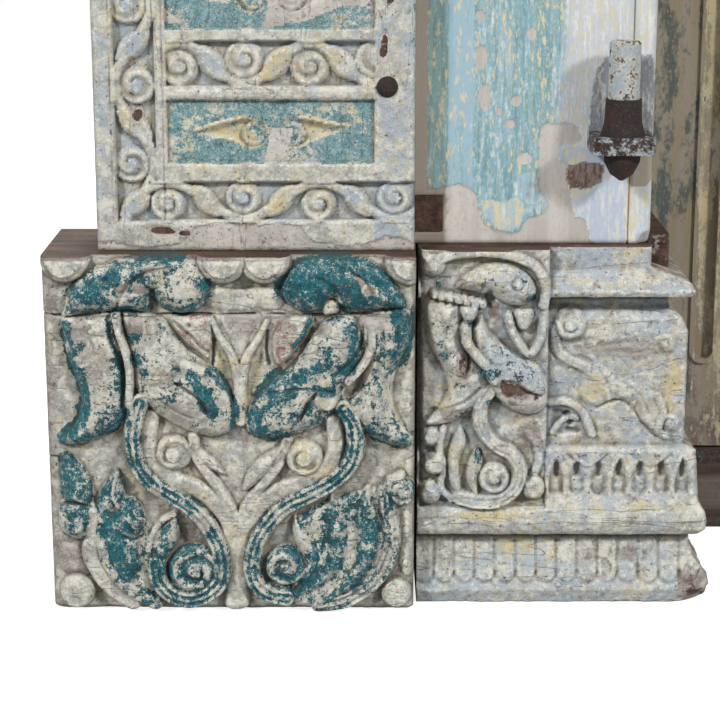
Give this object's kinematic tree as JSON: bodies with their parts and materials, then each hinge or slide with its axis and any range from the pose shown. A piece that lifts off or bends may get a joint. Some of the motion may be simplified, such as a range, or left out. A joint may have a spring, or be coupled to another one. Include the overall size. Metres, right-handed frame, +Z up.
{
  "type": "double door with frame",
  "caption": "Two-leaf pivot-hung timber door in its carved and painted frame, with plinth blocks, moulded bases, iron pintles and ring pulls.",
  "frame": {"origin": "centre of the footprint's bounding box, on the floor", "axes": "+Z up, -Y towards the carved front, +X to the right seen from the front"},
  "size_m": [2, 0.365, 2.35],
  "materials": {
    "carved_wood": "old flaking cream, blue-grey and teal paint over carved timber",
    "painted_wood": "old flaking pale blue-grey paint over planed timber",
    "leaf_wood": "worn dark teal paint over brown timber",
    "bare_wood": "bare weathered brown timber",
    "wrought_iron": "rusty hand-forged iron",
    "painted_iron": "thick chipped off-white paint over iron"
  },
  "bodies": {
    "frame": {"lintel": "painted_wood", "head_board": "painted_wood", "cornice": "painted_wood", "sill": "bare_wood", "pivot_rail": "bare_wood", "frame_nails": "wrought_iron", "jamb_pegs": "bare_wood", "plinth_lower_left": "carved_wood", "plinth_lower_right": "carved_wood", "plinth_upper_left": "carved_wood", "plinth_upper_right": "carved_wood", "base_block_left": "carved_wood", "base_block_right": "carved_wood", "post_left": "carved_wood", "post_right": "carved_wood", "capital_left": "carved_wood", "capital_right": "carved_wood", "jamb_left": "painted_wood", "jamb_right": "painted_wood", "sill_cup_left": "wrought_iron", "sill_cup_right": "wrought_iron", "head_bush_left": "wrought_iron", "head_bush_right": "wrought_iron", "pintle_pin_left": "painted_iron", "pintle_pin_right": "painted_iron", "pintle_collar_left": "wrought_iron", "pintle_collar_right": "wrought_iron", "pintle_plate_left": "wrought_iron", "pintle_plate_right": "wrought_iron", "pintle_finial_left": "wrought_iron", "pintle_finial_right": "wrought_iron"},
    "leaf_left": {"hanging_stile_left": "leaf_wood", "meeting_stile_left": "leaf_wood", "bottom_rail_left": "leaf_wood", "lock_rail_left": "leaf_wood", "upper_rail_left": "leaf_wood", "top_rail_left": "leaf_wood", "lower_panel_left": "leaf_wood", "middle_panel_left": "leaf_wood", "upper_panel_left": "leaf_wood", "pivot_shoe_left": "wrought_iron", "ring_rose_left": "wrought_iron", "ring_staple_left": "wrought_iron"},
    "ring_left": {"ring_pull_left": "wrought_iron"},
    "leaf_right": {"hanging_stile_right": "leaf_wood", "meeting_stile_right": "leaf_wood", "bottom_rail_right": "leaf_wood", "lock_rail_right": "leaf_wood", "upper_rail_right": "leaf_wood", "top_rail_right": "leaf_wood", "lower_panel_right": "leaf_wood", "middle_panel_right": "leaf_wood", "upper_panel_right": "leaf_wood", "pivot_shoe_right": "wrought_iron", "ring_rose_right": "wrought_iron", "ring_staple_right": "wrought_iron"},
    "ring_right": {"ring_pull_right": "wrought_iron"}
  },
  "joints": [
    {"name": "leaf_left_swing", "type": "hinge", "parent": "frame", "child": "leaf_left", "pos_m": [-0.449, 0.11, 0.9], "axis": [0, 0, 1], "range_deg": [0, 95]},
    {"name": "leaf_right_swing", "type": "hinge", "parent": "frame", "child": "leaf_right", "pos_m": [0.449, 0.11, 0.9], "axis": [0, 0, -1], "range_deg": [0, 95]},
    {"name": "ring_left_swing", "type": "hinge", "parent": "leaf_left", "child": "ring_left", "pos_m": [-0.0615, 0.0725, 0.9993], "axis": [-1, 0, 0], "range_deg": [-7, 100]},
    {"name": "ring_right_swing", "type": "hinge", "parent": "leaf_right", "child": "ring_right", "pos_m": [0.0615, 0.0725, 0.9993], "axis": [-1, 0, 0], "range_deg": [-7, 100]}
  ]
}
